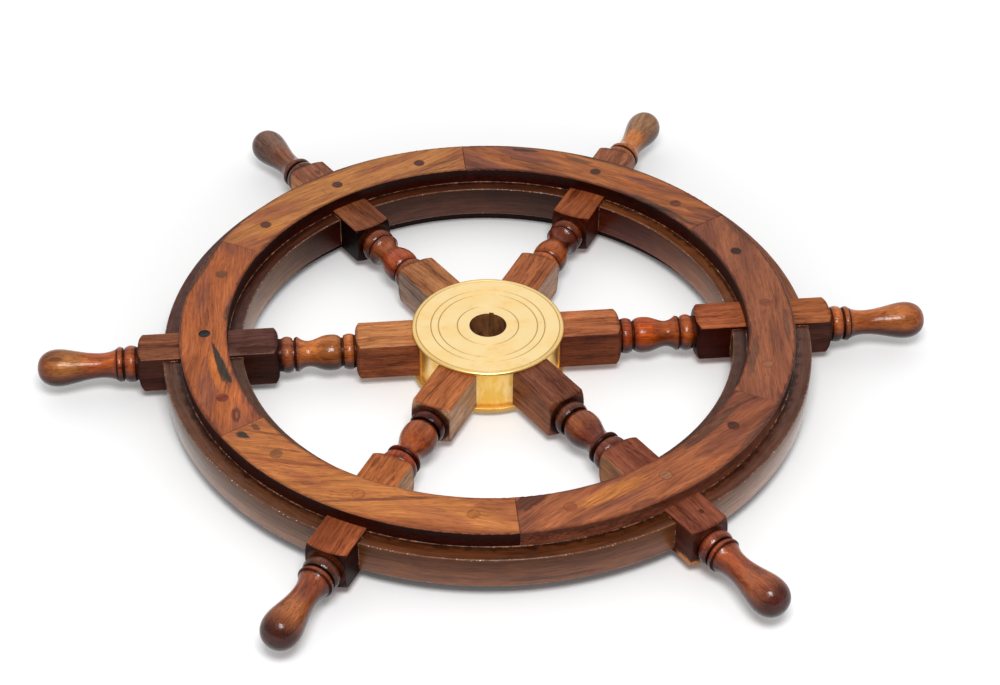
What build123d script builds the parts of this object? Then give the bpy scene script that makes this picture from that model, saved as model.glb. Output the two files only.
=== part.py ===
from build123d import *
import os
from math import asin, cos, degrees, radians, sin, sqrt

# A six-spoke wooden ship's steering wheel with a brass hub, lying flat with its
# front face up. The origin is on the shaft's axis, in the middle plane of the
# spokes. +Z points out of the front face and +X runs along spoke 1.
# Every length is in millimetres and every angle in degrees.

# Whole wheel
spoke_count = 6
pitch = 360 / spoke_count
span = 610.0  # 24 inches from handle tip to opposite handle tip
tip = span / 2

# Spokes: square stock, turned between and beyond the squares left on it
stock = 27.5
stock_half = stock / 2
stock_ease = 0.5
spoke_root = 25.0
hub_square_end = 90.5
rim_square_start = 142.8
rim_square_end = 237.0
pommel_flat = 12.5  # the end of a square is flat out to this radius
pommel_round = 9.0  # and rounds back from there to its corners
quirk_radius = 9.8  # the narrow grooves beside beads and lips

# Turned profile of a spoke, each point as (distance from the shaft's axis, radius)
hub_bead = ((91.2, 11.2), (95.0, 12.3), (98.9, 11.0))
vase_curve = (
    (100.2, quirk_radius),
    (102.2, 11.4),
    (107.5, 12.35),
    (113.0, 11.6),
    (118.0, 9.8),
    (122.5, 8.8),
    (126.5, 9.7),
    (129.6, 12.0),
)
vase_lip = ((129.6, 12.0), (131.1, 11.75), (132.2, 11.0))
rim_bead = ((133.2, 11.0), (137.0, 12.5), (140.8, 11.2))
handle_bead = ((238.4, 11.2), (242.3, 12.45), (246.2, 11.0))
handle_lip = ((247.3, 11.0), (248.8, 11.8), (250.3, 11.9))
handle_curve = (
    (250.3, 11.9),
    (251.4, 11.0),
    (253.2, 10.1),
    (257.0, 8.9),
    (263.0, 8.4),
    (273.0, 9.5),
    (283.0, 11.6),
    (291.5, 12.65),
    (297.0, 11.75),
    (300.8, 9.7),
    (303.3, 6.9),
    (304.6, 3.6),
    (tip, 0),
)

# Rim: felloes between the spokes, faced front and back by rings of segments
felloe_inner = 167.0
felloe_outer = 220.0
felloe_thickness = 22.5
felloe_half = felloe_thickness / 2
facing_inner = 176.5
facing_outer = 208.5
facing_thickness = 11.25
rim_half = felloe_half + facing_thickness
edge_round = 0.9
seam_gap = 0.16
seam_ease = 0.35

# Rim fastenings: plugged wood screws on one circle, dowels through the spokes
fixing_circle = 191.5
# Each facing is fixed on its spoke, and at these angles before and after it
fixing_spreads = (
    (19.8, 18.2),
    (20.9, 20.6),
    (19.8, 21.0),
    (19.8, 20.5),
    (19.5, 22.0),
    (20.1, 19.8),
)
plug_radius = 3.75
plug_depth = 4.0
plug_sink = 0.1  # how far the back plugs stay below the back face
screw_head_radius = 3.6
screw_shank_radius = 2.0
screw_length = 16.5
screw_point = 3.0
screw_slot_width = 0.9
screw_slot_depth = 1.0
filled_angle = 180.0  # the one hole that is stopped with black pitch
dowel_radius = 4.0
dowel_half_length = 31.0
dowel_circles = (179.5, 203.5)

# Brass hub: front plate, boss and drum in one casting, and a back plate
bore_radius = 12.7  # a one inch shaft
key_width = 3.2  # a shallow way for a 1/8 inch key
key_depth = 1.2
key_angle = 74.0
plate_radius = 52.0
plate_thickness = 2.4
plate_bead_width = 3.2
plate_bead_rise = 0.35
engraved_circles = (20.9, 33.8, 38.9)
engraving = 0.5
drum_lip_radius = 50.2
drum_wall_radius = 49.6
drum_lip_width = 2.5
back_radius = 52.6
back_thickness = 3.5
back_round = 0.8
plate_face = stock_half + plate_thickness
back_face = -stock_half - back_thickness

# Machine screws that clamp the back plate to the drum, M5 countersunk
clamp_circle = 42.0
clamp_radius = 2.5
clamp_head_radius = 4.8
clamp_length = 14.0
clamp_slot_width = 1.2
clamp_slot_depth = 1.3


os.makedirs("parts", exist_ok=True)


def polar(radius, angle):
    """The point at a radius and an angle in the XY plane."""
    return (radius * cos(radians(angle)), radius * sin(radians(angle)))


def across_spoke(angle):
    """A plane through the axis of the spoke at angle, looking along the rim."""
    along = (cos(radians(angle)), sin(radians(angle)), 0)
    tangent = (-sin(radians(angle)), cos(radians(angle)), 0)
    return Plane(origin=(0, 0, 0), x_dir=along, z_dir=tangent)


def wedge(first_angle, last_angle):
    """Keeps only what lies between two angles of the sketch being drawn."""
    corners = ((0, 0), polar(span, first_angle), polar(span, last_angle))
    Polygon(*corners, align=None, mode=Mode.INTERSECT)


def keep(name, shape):
    """Labels a finished piece and writes it as its own STEP file."""
    shape.label = name
    export_step(shape, f"parts/{name}.step")


def fixings_of_facing(index):
    """The angles of a facing's three fixings from its spoke's centre line."""
    before, after = fixing_spreads[index % spoke_count]
    return (-before, 0, after)


# The space that one rim screw and its plug take, from the front face down
screw_head_z = rim_half - plug_depth
screw_neck_z = screw_head_z - (screw_head_radius - screw_shank_radius)
screw_tip_z = screw_head_z - screw_length

with BuildPart() as rim_bore:
    with BuildSketch(Plane.XZ):
        with BuildLine():
            Polyline(
                (0, rim_half + 1),
                (plug_radius, rim_half + 1),
                (plug_radius, screw_head_z),
                (screw_head_radius, screw_head_z),
                (screw_shank_radius, screw_neck_z),
                (screw_shank_radius, screw_tip_z + screw_point),
                (0, screw_tip_z),
                close=True,
            )
        make_face()
    revolve(axis=Axis.Z)

# One slotted wood screw of the rim
with BuildPart() as rim_screw:
    with BuildSketch(Plane.XZ):
        with BuildLine():
            Polyline(
                (0, screw_head_z),
                (screw_head_radius, screw_head_z),
                (screw_shank_radius, screw_neck_z),
                (screw_shank_radius, screw_tip_z + screw_point),
                (0, screw_tip_z),
                close=True,
            )
        make_face()
    revolve(axis=Axis.Z)
    with BuildSketch(Plane.XY.offset(screw_head_z)):
        Rectangle(2 * screw_head_radius, screw_slot_width)
    extrude(amount=-screw_slot_depth, mode=Mode.SUBTRACT)

# The space that one clamping screw takes in the back plate and the drum
with BuildPart() as clamp_bore:
    with BuildSketch(Plane.XZ):
        with BuildLine():
            Polyline(
                (0, back_face - 1),
                (clamp_head_radius, back_face - 1),
                (clamp_head_radius, back_face),
                (clamp_radius, back_face + clamp_head_radius - clamp_radius),
                (clamp_radius, back_face + clamp_length),
                (0, back_face + clamp_length),
                close=True,
            )
        make_face()
    revolve(axis=Axis.Z)

# One spoke, turned from a single square length with its handle at the end
pommel_reach = pommel_flat + pommel_round
pommel_bulge = pommel_flat + pommel_round * sin(radians(45))
pommel_sag = pommel_round * (1 - cos(radians(45)))

with BuildPart() as spoke:
    with BuildSketch(Plane.YZ.offset(spoke_root)):
        Rectangle(stock, stock)
    extrude(amount=hub_square_end - spoke_root)
    with BuildSketch(Plane.YZ.offset(rim_square_start)):
        Rectangle(stock, stock)
    extrude(amount=rim_square_end - rim_square_start)
    chamfer(spoke.edges().filter_by(Axis.X), stock_ease)

    # The pommels: the shoulders at the ends of the squares are rounded back
    with BuildSketch(Plane.XZ):
        with BuildLine():
            Polyline(
                (hub_square_end, pommel_flat),
                (hub_square_end, 0),
                (spoke_root, 0),
                (spoke_root, pommel_reach),
                (hub_square_end - pommel_round, pommel_reach),
            )
            ThreePointArc(
                (hub_square_end - pommel_round, pommel_reach),
                (hub_square_end - pommel_sag, pommel_bulge),
                (hub_square_end, pommel_flat),
            )
        make_face()
        with BuildLine():
            Polyline(
                (rim_square_start, pommel_flat),
                (rim_square_start, 0),
                (rim_square_end, 0),
                (rim_square_end, pommel_flat),
            )
            ThreePointArc(
                (rim_square_end, pommel_flat),
                (rim_square_end - pommel_sag, pommel_bulge),
                (rim_square_end - pommel_round, pommel_reach),
            )
            Line(
                (rim_square_end - pommel_round, pommel_reach),
                (rim_square_start + pommel_round, pommel_reach),
            )
            ThreePointArc(
                (rim_square_start + pommel_round, pommel_reach),
                (rim_square_start + pommel_sag, pommel_bulge),
                (rim_square_start, pommel_flat),
            )
        make_face()
    revolve(axis=Axis.X, mode=Mode.INTERSECT)

    # Bead, vase, lip and bead between the hub and the rim
    with BuildSketch(Plane.XZ):
        with BuildLine():
            Polyline(
                (hub_square_end - stock_ease, 0),
                (hub_square_end - stock_ease, hub_bead[0][1]),
                hub_bead[0],
            )
            ThreePointArc(*hub_bead)
            Polyline(hub_bead[-1], (hub_bead[-1][0], quirk_radius), vase_curve[0])
            Spline(*vase_curve)
            ThreePointArc(*vase_lip)
            Polyline(
                vase_lip[-1],
                (vase_lip[-1][0], quirk_radius),
                (rim_bead[0][0], quirk_radius),
                rim_bead[0],
            )
            ThreePointArc(*rim_bead)
            Polyline(
                rim_bead[-1],
                (rim_square_start + stock_ease, rim_bead[-1][1]),
                (rim_square_start + stock_ease, 0),
                (hub_square_end - stock_ease, 0),
            )
        make_face()
    revolve(axis=Axis.X)

    # Bead, lip and handle outside the rim
    with BuildSketch(Plane.XZ):
        with BuildLine():
            Polyline(
                (rim_square_end - stock_ease, 0),
                (rim_square_end - stock_ease, handle_bead[0][1]),
                handle_bead[0],
            )
            ThreePointArc(*handle_bead)
            Polyline(
                handle_bead[-1],
                (handle_bead[-1][0], quirk_radius),
                (handle_lip[0][0], quirk_radius),
                handle_lip[0],
            )
            ThreePointArc(*handle_lip)
            Spline(*handle_curve)
            Line((tip, 0), (rim_square_end - stock_ease, 0))
        make_face()
    revolve(axis=Axis.X)

    # Pilot holes for the front and back facing screws, and the dowel holes
    with Locations((fixing_circle, 0)):
        add(rim_bore.part, mode=Mode.SUBTRACT)
        add(rim_bore.part, rotation=(180, 0, 0), mode=Mode.SUBTRACT)
    with BuildSketch(across_spoke(0)):
        with Locations(*[(circle, 0) for circle in dowel_circles]):
            Circle(dowel_radius)
    extrude(amount=stock, both=True, mode=Mode.SUBTRACT)

for index in range(spoke_count):
    keep(f"spoke_{index + 1}", spoke.part.rotate(Axis.Z, index * pitch))

# One felloe, which fills the rim between spoke 1 and spoke 2
with BuildPart() as felloe:
    with BuildSketch(Plane.XY.offset(-felloe_half)):
        Circle(felloe_outer)
        Circle(felloe_inner, mode=Mode.SUBTRACT)
        wedge(0, pitch)
        for angle in (0, pitch):
            Rectangle(2 * span, stock, rotation=angle, mode=Mode.SUBTRACT)
    extrude(amount=felloe_thickness)
    fillet(felloe.edges().filter_by(GeomType.CIRCLE), edge_round)
    for angle, direction in ((0, 1), (pitch, -1)):
        with BuildSketch(across_spoke(angle)):
            with Locations(*[(circle, 0) for circle in dowel_circles]):
                Circle(dowel_radius)
        extrude(amount=direction * dowel_half_length, mode=Mode.SUBTRACT)

for index in range(spoke_count):
    first = fixings_of_facing(index)[2]
    last = pitch + fixings_of_facing(index + 1)[0]
    with BuildPart() as bored_felloe:
        add(felloe.part)
        with Locations(polar(fixing_circle, first), polar(fixing_circle, last)):
            add(rim_bore.part, mode=Mode.SUBTRACT)
            add(rim_bore.part, rotation=(180, 0, 0), mode=Mode.SUBTRACT)
    keep(f"felloe_{index + 1}", bored_felloe.part.rotate(Axis.Z, index * pitch))

# One facing segment, centred on a spoke, let down over it by a shallow notch
seam_angle = degrees(seam_gap / 2 / facing_outer)

with BuildPart() as facing:
    with BuildSketch(Plane.XY.offset(felloe_half)):
        Circle(facing_outer)
        Circle(facing_inner, mode=Mode.SUBTRACT)
        wedge(seam_angle - pitch / 2, pitch / 2 - seam_angle)
    extrude(amount=facing_thickness)
    top_edges = facing.edges().group_by(Axis.Z)[-1]
    chamfer(top_edges.filter_by(GeomType.LINE), seam_ease)
    top_edges = facing.edges().group_by(Axis.Z)[-1]
    fillet(top_edges.filter_by(GeomType.CIRCLE), edge_round)
    with BuildSketch(Plane.XY.offset(felloe_half)):
        with Locations((fixing_circle, 0)):
            Rectangle(facing_outer - facing_inner + stock, stock)
    extrude(amount=stock_half - felloe_half, mode=Mode.SUBTRACT)

for index in range(spoke_count):
    with BuildPart() as front_facing:
        add(facing.part)
        with Locations(*[polar(fixing_circle, angle) for angle in fixings_of_facing(index)]):
            add(rim_bore.part, mode=Mode.SUBTRACT)
    with BuildPart() as back_facing:
        mirror(front_facing.part, about=Plane.XY)
    keep(f"front_facing_{index + 1}", front_facing.part.rotate(Axis.Z, index * pitch))
    keep(f"back_facing_{index + 1}", back_facing.part.rotate(Axis.Z, index * pitch))

# Screws and plugs all round the rim, front and back
fixing_angles = [k * pitch + offset for k in range(spoke_count) for offset in fixings_of_facing(k)]
plug_angles = [angle for angle in fixing_angles if angle != filled_angle]

with BuildPart() as front_screws:
    with Locations(*[polar(fixing_circle, angle) for angle in fixing_angles]):
        add(rim_screw.part)
keep("front_screws", front_screws.part)

with BuildPart() as back_screws:
    mirror(front_screws.part, about=Plane.XY)
keep("back_screws", back_screws.part)

with BuildPart() as front_plugs:
    with BuildSketch(Plane.XY.offset(screw_head_z)):
        with Locations(*[polar(fixing_circle, angle) for angle in plug_angles]):
            Circle(plug_radius)
    extrude(amount=plug_depth)
keep("front_plugs", front_plugs.part)

with BuildPart() as pitch_stopping:
    with BuildSketch(Plane.XY.offset(screw_head_z)):
        with Locations(polar(fixing_circle, filled_angle)):
            Circle(plug_radius)
    extrude(amount=plug_depth - seam_ease)
    fillet(pitch_stopping.edges().group_by(Axis.Z)[-1], seam_ease)
keep("pitch_stopping", pitch_stopping.part)

with BuildPart() as back_plugs:
    with BuildSketch(Plane.XY.offset(-screw_head_z)):
        with Locations(*[polar(fixing_circle, angle) for angle in fixing_angles]):
            Circle(plug_radius)
    extrude(amount=plug_sink - plug_depth)
keep("back_plugs", back_plugs.part)

# Dowels that run through each spoke into the felloes on both sides of it
with BuildPart() as felloe_dowels:
    for index in range(spoke_count):
        with BuildSketch(across_spoke(index * pitch)):
            with Locations(*[(circle, 0) for circle in dowel_circles]):
                Circle(dowel_radius)
        extrude(amount=dowel_half_length, both=True)
keep("felloe_dowels", felloe_dowels.part)

# Hub casting: front plate, drum with a socket for each spoke, and keyed boss
lip_angle = degrees(asin(stock_half / drum_lip_radius) + drum_lip_width / drum_lip_radius)
bead_start = plate_radius - plate_bead_width

with BuildPart() as hub_body:
    with BuildSketch(Plane.XY.offset(-stock_half)):
        Circle(drum_lip_radius)
    extrude(amount=stock)
    with BuildSketch(Plane.XY.offset(-stock_half)):
        with PolarLocations(spoke_root + plate_radius / 2, spoke_count):
            Rectangle(plate_radius, stock)
    extrude(amount=stock, mode=Mode.SUBTRACT)
    for index in range(spoke_count):
        with BuildSketch(Plane.XY.offset(-stock_half)):
            Circle(plate_radius)
            Circle(drum_wall_radius, mode=Mode.SUBTRACT)
            wedge(index * pitch + lip_angle, (index + 1) * pitch - lip_angle)
        extrude(amount=stock, mode=Mode.SUBTRACT)

    # The front plate has a rounded bead at its rim and a quirk inside the bead
    with BuildSketch(Plane.XZ):
        with BuildLine():
            Polyline(
                (0, plate_face),
                (bead_start, plate_face),
                (bead_start + engraving / 2, plate_face - engraving / 2),
            )
            ThreePointArc(
                (bead_start + engraving / 2, plate_face - engraving / 2),
                (plate_radius - plate_bead_width / 2, plate_face + plate_bead_rise),
                (plate_radius, plate_face - plate_thickness / 2),
            )
            Polyline(
                (plate_radius, plate_face - plate_thickness / 2),
                (plate_radius - engraving, stock_half),
                (0, stock_half),
                (0, plate_face),
            )
        make_face()
    revolve(axis=Axis.Z)
    with BuildSketch(Plane.XZ):
        with Locations(*[(circle, plate_face) for circle in engraved_circles]):
            Rectangle(engraving, engraving, rotation=45)
    revolve(axis=Axis.Z, mode=Mode.SUBTRACT)

    # Keyed shaft bore, and the threaded holes for the back plate's screws
    with BuildSketch(Plane.XY.offset(-stock_half)):
        Circle(bore_radius)
        with Locations(polar((bore_radius + key_depth) / 2, key_angle)):
            Rectangle(bore_radius + key_depth, key_width, rotation=key_angle)
    extrude(amount=2 * stock, mode=Mode.SUBTRACT)
    with PolarLocations(clamp_circle, spoke_count, start_angle=pitch / 2):
        add(clamp_bore.part, mode=Mode.SUBTRACT)
keep("hub_body", hub_body.part)

# Back plate, which closes the spoke sockets from behind
with BuildPart() as hub_back_plate:
    with BuildSketch(Plane.XY.offset(back_face)):
        Circle(back_radius)
    extrude(amount=back_thickness)
    fillet(hub_back_plate.edges(), back_round)
    with BuildSketch(Plane.XY.offset(back_face)):
        Circle(bore_radius)
        with Locations(polar((bore_radius + key_depth) / 2, key_angle)):
            Rectangle(bore_radius + key_depth, key_width, rotation=key_angle)
    extrude(amount=back_thickness, mode=Mode.SUBTRACT)
    with PolarLocations(clamp_circle, spoke_count, start_angle=pitch / 2):
        add(clamp_bore.part, mode=Mode.SUBTRACT)
keep("hub_back_plate", hub_back_plate.part)

# Six slotted screws from the back plate into the drum
with BuildPart() as hub_screw:
    with BuildSketch(Plane.XZ):
        with BuildLine():
            Polyline(
                (0, back_face),
                (clamp_head_radius, back_face),
                (clamp_radius, back_face + clamp_head_radius - clamp_radius),
                (clamp_radius, back_face + clamp_length),
                (0, back_face + clamp_length),
                close=True,
            )
        make_face()
    revolve(axis=Axis.Z)
    with BuildSketch(Plane.XY.offset(back_face)):
        Rectangle(2 * clamp_head_radius, clamp_slot_width)
    extrude(amount=clamp_slot_depth, mode=Mode.SUBTRACT)

with BuildPart() as hub_screws:
    with PolarLocations(clamp_circle, spoke_count, start_angle=pitch / 2):
        add(hub_screw.part)
keep("hub_screws", hub_screws.part)
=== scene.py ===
import math
import random

import bpy
from mathutils import Matrix, Vector


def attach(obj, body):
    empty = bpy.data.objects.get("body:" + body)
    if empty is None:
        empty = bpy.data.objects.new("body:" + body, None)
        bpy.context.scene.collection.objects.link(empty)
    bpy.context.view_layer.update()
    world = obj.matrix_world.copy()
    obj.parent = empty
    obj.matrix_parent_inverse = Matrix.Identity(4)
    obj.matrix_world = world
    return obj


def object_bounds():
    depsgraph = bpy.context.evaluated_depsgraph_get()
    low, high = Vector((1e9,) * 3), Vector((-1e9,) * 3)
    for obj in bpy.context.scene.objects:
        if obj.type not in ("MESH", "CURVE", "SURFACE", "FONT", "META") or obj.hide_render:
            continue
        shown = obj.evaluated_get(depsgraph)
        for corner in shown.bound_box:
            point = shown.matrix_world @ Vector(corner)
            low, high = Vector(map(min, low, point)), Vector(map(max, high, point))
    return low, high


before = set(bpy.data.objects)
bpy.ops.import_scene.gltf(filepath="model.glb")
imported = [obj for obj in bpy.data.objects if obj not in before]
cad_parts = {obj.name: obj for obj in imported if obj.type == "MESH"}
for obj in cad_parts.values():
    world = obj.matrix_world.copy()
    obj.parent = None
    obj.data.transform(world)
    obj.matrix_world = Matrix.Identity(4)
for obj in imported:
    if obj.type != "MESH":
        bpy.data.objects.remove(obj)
cad_low, cad_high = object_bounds()

SPOKES = 6
PITCH = 360 / SPOKES
MM = 0.001

# Sizes of the CAD that the materials and the beads of varnish follow
SPOKE_TIP = 305 * MM
STOCK_HALF = 13.75 * MM
FELLOE_OUTER = 220.0 * MM
FELLOE_INNER = 167.0 * MM
FELLOE_HALF = 11.25 * MM
FACING_OUTER = 208.5 * MM
FACING_MIDDLE = 192.5 * MM
FACING_INNER = 176.5 * MM
PLUG_RADIUS = 3.75 * MM
FIXING_CIRCLE = 191.5 * MM
# Degrees from each facing's middle to its plugs, on the side of the spoke before and of the spoke after
FIXING_SPREADS = ((19.8, 18.2), (20.9, 20.6), (19.8, 21.0), (19.8, 20.5), (19.5, 22.0), (20.1, 19.8))
# Radii of the circles engraved in the hub's plate, and of the groove beside its bead, in mm
ENGRAVED = (20.9, 33.8, 38.9)
BEAD_QUIRK = 48.95


# ---------------------------------------------------------------- node graphs
class Graph:
    """Short calls for building a shader's node tree."""

    def __init__(self, tree):
        self.tree = tree

    def node(self, kind, **settings):
        made = self.tree.nodes.new(kind)
        for key, value in settings.items():
            setattr(made, key, value)
        return made

    def feed(self, socket, value):
        """Links a socket to value, or sets the socket to it."""
        if isinstance(value, bpy.types.NodeSocket):
            self.tree.links.new(value, socket)
        else:
            socket.default_value = value

    def place(self):
        """Where a point lies on its object; the CAD pieces all share one frame."""
        return self.node("ShaderNodeTexCoord").outputs["Object"]

    def normal_z(self):
        return self.split(self.node("ShaderNodeTexCoord").outputs["Normal"])[2]

    def math(self, operation, a, b=0.0, c=0.0):
        made = self.node("ShaderNodeMath", operation=operation)
        self.feed(made.inputs[0], a)
        self.feed(made.inputs[1], b)
        self.feed(made.inputs[2], c)
        return made.outputs[0]

    def hypot(self, a, b):
        """The length of the long side over the short sides a and b."""
        return self.math("SQRT", self.math("MULTIPLY_ADD", a, a, self.math("MULTIPLY", b, b)))

    def vector(self, operation, a, b):
        made = self.node("ShaderNodeVectorMath", operation=operation)
        self.feed(made.inputs[0], a)
        self.feed(made.inputs[1], b)
        return made.outputs[0]

    def combine(self, x, y, z):
        made = self.node("ShaderNodeCombineXYZ")
        self.feed(made.inputs[0], x)
        self.feed(made.inputs[1], y)
        self.feed(made.inputs[2], z)
        return made.outputs[0]

    def split(self, vector):
        made = self.node("ShaderNodeSeparateXYZ")
        self.feed(made.inputs[0], vector)
        return made.outputs

    def noise(self, vector, scale=1.0, detail=2.0, roughness=0.5):
        made = self.node("ShaderNodeTexNoise")
        self.feed(made.inputs["Vector"], vector)
        self.feed(made.inputs["Scale"], scale)
        self.feed(made.inputs["Detail"], detail)
        self.feed(made.inputs["Roughness"], roughness)
        return made.outputs["Fac"]

    def span(self, value, low, high, to_low=0.0, to_high=1.0):
        """Maps low..high smoothly to to_low..to_high, held at both ends."""
        made = self.node("ShaderNodeMapRange", interpolation_type="SMOOTHSTEP")
        for name, part in (
            ("Value", value),
            ("From Min", low),
            ("From Max", high),
            ("To Min", to_low),
            ("To Max", to_high),
        ):
            self.feed(made.inputs[name], part)
        return made.outputs["Result"]

    def mix(self, factor, a, b, blend="MIX"):
        made = self.node("ShaderNodeMix", data_type="RGBA", blend_type=blend)
        self.feed(made.inputs[0], factor)
        self.feed(made.inputs[6], a)
        self.feed(made.inputs[7], b)
        return made.outputs[2]

    def dim(self, colour, factor):
        return self.mix(1.0, colour, self.combine(factor, factor, factor), blend="MULTIPLY")

    def ramp(self, value, *stops):
        made = self.node("ShaderNodeValToRGB")
        elements = made.color_ramp.elements
        while len(elements) < len(stops):
            elements.new(1.0)
        for element, (place, colour) in zip(elements, stops):
            element.position = place
            element.color = colour
        self.feed(made.inputs[0], value)
        return made.outputs[0]

    def bump(self, socket, height, strength, distance):
        """Gives a normal socket the relief of height."""
        relief = self.node("ShaderNodeBump")
        self.feed(relief.inputs["Height"], height)
        self.feed(relief.inputs["Strength"], strength)
        self.feed(relief.inputs["Distance"], distance)
        self.feed(socket, relief.outputs[0])


def srgb(red, green, blue):
    """A colour given as it looks on screen, 0 to 255, as Blender's linear values."""
    linear = []
    for part in (red, green, blue):
        part /= 255
        linear.append(part / 12.92 if part <= 0.04045 else ((part + 0.055) / 1.055) ** 2.4)
    return (*linear, 1.0)


def new_material(name):
    material = bpy.data.materials.new(name)
    material.use_nodes = True
    graph = Graph(material.node_tree)
    shader = material.node_tree.nodes["Principled BSDF"]
    return material, graph, shader


def cover(node_name, material):
    """Gives a CAD node its material."""
    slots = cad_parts[node_name].data.materials
    slots.clear()
    slots.append(material)


def unit(angle):
    return Vector((math.cos(math.radians(angle)), math.sin(math.radians(angle)), 0))


# How strongly the studio lights a face that looks up, and the sheen it adds
LIGHT_ON_FLATS = 1.28
SHEEN_ON_FLATS = 0.016
# The turnings are curved and glossy: how much darker their base colour is, and their sheen
DIMMING_OF_TURNINGS = 0.64
SHEEN_ON_TURNINGS = 0.03


def seen(red, green, blue):
    """The base colour of a wood that shows as this colour, 0 to 255, on a flat top face."""
    parts = srgb(red, green, blue)[:3]
    return tuple(part * part / (part + SHEEN_ON_FLATS) / LIGHT_ON_FLATS for part in parts) + (1.0,)


def polished(red, green, blue):
    """The base colour of a turning whose top shows as this colour, 0 to 255."""
    parts = srgb(red, green, blue)[:3]
    return tuple(DIMMING_OF_TURNINGS * part * part / (part + SHEEN_ON_TURNINGS) for part in parts) + (1.0,)


# --------------------------------------------------------------------- timber
def turned_about(graph, vector, angle):
    """Coordinates seen from axes turned by angle about Z."""
    turned = graph.node("ShaderNodeVectorRotate", rotation_type="Z_AXIS")
    graph.feed(turned.inputs["Vector"], vector)
    graph.feed(turned.inputs["Angle"], -math.radians(angle))
    return turned.outputs[0]


def local_place(graph, anchor, direction):
    """Metres along direction, across it and up, measured from anchor."""
    return turned_about(graph, graph.vector("SUBTRACT", graph.place(), tuple(anchor)), direction)


def stretched(graph, along, across, up, length, width, shift, detail=2.0, roughness=0.5):
    """Noise drawn out along the grain, with features about length by width metres."""
    vector = graph.combine(
        graph.math("MULTIPLY_ADD", along, 1 / length, shift),
        graph.math("MULTIPLY_ADD", across, 1 / width, shift * 1.7),
        graph.math("MULTIPLY_ADD", up, 1 / width, shift * 0.6),
    )
    return graph.noise(vector, detail=detail, roughness=roughness)


def centred(graph, value, gain):
    """(value - 0.5) * gain"""
    return graph.math("MULTIPLY", graph.math("SUBTRACT", value, 0.5), gain)


def grain(graph, local, seed, wander=1.5 * MM, bands=1.0, lines=1.0, pores=0.35, band_width=9 * MM):
    """The figure of the wood: a factor on its colour, its pores and its fibre."""
    along, across, up = graph.split(local)
    shift = seed * 7.31
    slow = stretched(graph, along, across, up, 70 * MM, 30 * MM, shift, 1.0)
    quick = stretched(graph, along, across, up, 16 * MM, 8 * MM, shift + 3, 1.0)
    bent = graph.math("ADD", across, centred(graph, slow, wander * 7))
    bent = graph.math("ADD", bent, centred(graph, quick, wander))
    rise = graph.math("ADD", up, centred(graph, slow, wander * 3))

    band = stretched(graph, along, bent, rise, 130 * MM, band_width, shift + 5, 2.0, 0.55)
    line = stretched(graph, along, bent, rise, 60 * MM, 2.2 * MM, shift + 11, 4.0, 0.68)
    fibre = stretched(graph, along, bent, rise, 14 * MM, 0.9 * MM, shift + 23, 2.0)
    pore = stretched(graph, along, bent, rise, 6 * MM, 0.8 * MM, shift + 37, 1.0)
    cloud = stretched(graph, along, across, up, 30 * MM, 10 * MM, shift + 41, 2.0)

    factor = graph.math("ADD", centred(graph, band, 1.7 * bands), 1.0)
    factor = graph.math("ADD", centred(graph, line, 2.0 * lines), factor)
    factor = graph.math("ADD", centred(graph, fibre, 1.1), factor)
    factor = graph.math("ADD", centred(graph, cloud, 1.0 * bands), factor)
    pore = graph.span(pore, 0.56, 0.68)
    factor = graph.math("MULTIPLY", factor, graph.math("MULTIPLY_ADD", pore, -pores, 1.0))
    factor = graph.math("MAXIMUM", factor, 0.2)
    return factor, pore, fibre


def shaded(graph, colour, factor):
    """Multiplies a colour by the grain; the dark grain is a little redder."""
    tint = graph.combine(factor, graph.math("POWER", factor, 1.2), graph.math("POWER", factor, 1.25))
    return graph.mix(1.0, colour, tint, blend="MULTIPLY")


def mark_mask(graph, along, across, centre, half_length, half_width, tilt, taper, wobble):
    """1 inside a long patch of stain, which narrows towards its far end by taper."""
    shift_along = graph.math("SUBTRACT", along, centre[0])
    shift_across = graph.math("SUBTRACT", across, centre[1])
    cosine = math.cos(math.radians(tilt))
    sine = math.sin(math.radians(tilt))
    run = graph.math("MULTIPLY_ADD", shift_along, cosine, graph.math("MULTIPLY", shift_across, sine))
    side = graph.math("MULTIPLY_ADD", shift_along, -sine, graph.math("MULTIPLY", shift_across, cosine))
    run = graph.math("DIVIDE", run, half_length)
    room = graph.math("MULTIPLY_ADD", run, -taper, 1.0)
    side = graph.math("DIVIDE", side, graph.math("MULTIPLY", room, half_width))
    reach = graph.math("MULTIPLY_ADD", run, run, graph.math("MULTIPLY", side, side))
    return graph.span(graph.math("MULTIPLY_ADD", wobble, 1.6, reach), 1.3, 0.5)


def finish_wood(
    graph, shader, colour, pore, fibre, roughness, coat, coat_roughness, ior=1.22, coat_ior=1.35
):
    """Bare wood under a coat of varnish."""
    graph.feed(shader.inputs["Base Color"], colour)
    graph.feed(shader.inputs["Roughness"], graph.span(fibre, 0.3, 0.7, roughness - 0.06, roughness + 0.08))
    graph.feed(shader.inputs["Coat Weight"], coat)
    shader.inputs["Coat Roughness"].default_value = coat_roughness
    shader.inputs["Coat IOR"].default_value = coat_ior
    shader.inputs["IOR"].default_value = ior
    texture = graph.math("MULTIPLY_ADD", pore, -1.0, graph.math("MULTIPLY", fibre, 0.7))
    graph.bump(shader.inputs["Normal"], texture, strength=0.25, distance=0.15 * MM)
    # The varnish follows the grain less, and has soft dimples of its own
    dimples = graph.math("MULTIPLY_ADD", fibre, 0.5, graph.noise(graph.place(), scale=560.0))
    graph.bump(shader.inputs["Coat Normal"], dimples, strength=0.65, distance=0.3 * MM)


def radius_of(graph, place):
    x, y, _ = graph.split(place)
    return graph.hypot(x, y)


def near(graph, value, centre, half_width):
    """1 where value is within half_width of centre, fading out just beyond it."""
    gap = graph.math("ABSOLUTE", graph.math("SUBTRACT", value, centre))
    return graph.span(gap, half_width * 1.3, half_width * 0.7)


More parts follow.
